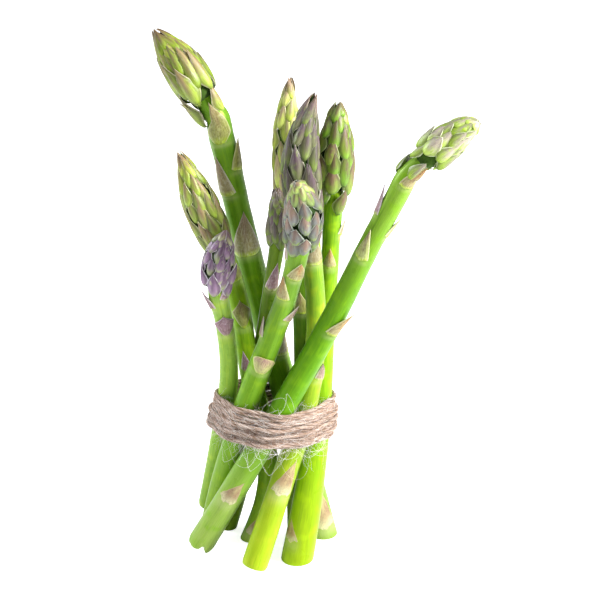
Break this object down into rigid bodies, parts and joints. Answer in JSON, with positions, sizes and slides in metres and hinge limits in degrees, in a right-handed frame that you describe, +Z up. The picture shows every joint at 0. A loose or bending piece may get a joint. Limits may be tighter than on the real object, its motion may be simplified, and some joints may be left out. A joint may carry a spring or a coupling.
{
  "type": "bundle of asparagus",
  "caption": "Loose bundle of green asparagus spears with scaly purple-green tips, held at the waist by a wrap of jute twine and standing on its cut ends.",
  "frame": {"origin": "middle of the base of the bundle's bounding box, on the surface that the level-cut stem ends stand on", "axes": "+Z up along the bundle from the cut ends to the tips, -Y to the front, where the slanting spear crosses the others, and +X to the side that its tip leans to"},
  "size_m": [0.1245, 0.0694, 0.2225],
  "materials": {
    "stem_skin": "waxy green plant skin, satin, lighter and yellower towards the cut ends; the density is set by the stated mass",
    "bud_scales": "matt overlapping green scales with purple-brown middles",
    "leaf_skin": "thin dry scale leaves, taupe to purple-brown with pale edges",
    "jute": "rough pinkish-tan jute twine with loose fibres"
  },
  "bodies": {
    "root": {"back_bud": "bud_scales", "back_leaf_1": "leaf_skin", "back_leaf_2": "leaf_skin", "back_stem": "stem_skin", "centre_bud": "bud_scales", "centre_leaf_1": "leaf_skin", "centre_leaf_2": "leaf_skin", "centre_leaf_3": "leaf_skin", "centre_stem": "stem_skin", "crossing_bud": "bud_scales", "crossing_leaf_1": "leaf_skin", "crossing_leaf_2": "leaf_skin", "crossing_leaf_3": "leaf_skin", "crossing_leaf_4": "leaf_skin", "crossing_leaf_5": "leaf_skin", "crossing_leaf_6": "leaf_skin", "crossing_leaf_7": "leaf_skin", "crossing_stem": "stem_skin", "left_bud": "bud_scales", "left_leaf_1": "leaf_skin", "left_leaf_2": "leaf_skin", "left_leaf_3": "leaf_skin", "left_leaf_4": "leaf_skin", "left_leaf_5": "leaf_skin", "left_stem": "stem_skin", "nodding_bud": "bud_scales", "nodding_leaf_1": "leaf_skin", "nodding_leaf_2": "leaf_skin", "nodding_leaf_3": "leaf_skin", "nodding_leaf_4": "leaf_skin", "nodding_leaf_5": "leaf_skin", "nodding_leaf_6": "leaf_skin", "nodding_leaf_7": "leaf_skin", "nodding_stem": "stem_skin", "purple_bud": "bud_scales", "purple_leaf_1": "leaf_skin", "purple_leaf_2": "leaf_skin", "purple_leaf_3": "leaf_skin", "purple_stem": "stem_skin", "right_bud": "bud_scales", "right_leaf_1": "leaf_skin", "right_leaf_2": "leaf_skin", "right_leaf_3": "leaf_skin", "right_stem": "stem_skin", "short_bud": "bud_scales", "short_leaf_1": "leaf_skin", "short_stem": "stem_skin", "tall_left_bud": "bud_scales", "tall_left_leaf_1": "leaf_skin", "tall_left_leaf_2": "leaf_skin", "tall_left_leaf_3": "leaf_skin", "tall_left_leaf_4": "leaf_skin", "tall_left_leaf_5": "leaf_skin", "tall_left_leaf_6": "leaf_skin", "tall_left_leaf_7": "leaf_skin", "tall_left_leaf_8": "leaf_skin", "tall_left_stem": "stem_skin", "twine_knot": "jute", "twine_wrap": "jute"}
  },
  "joints": []
}
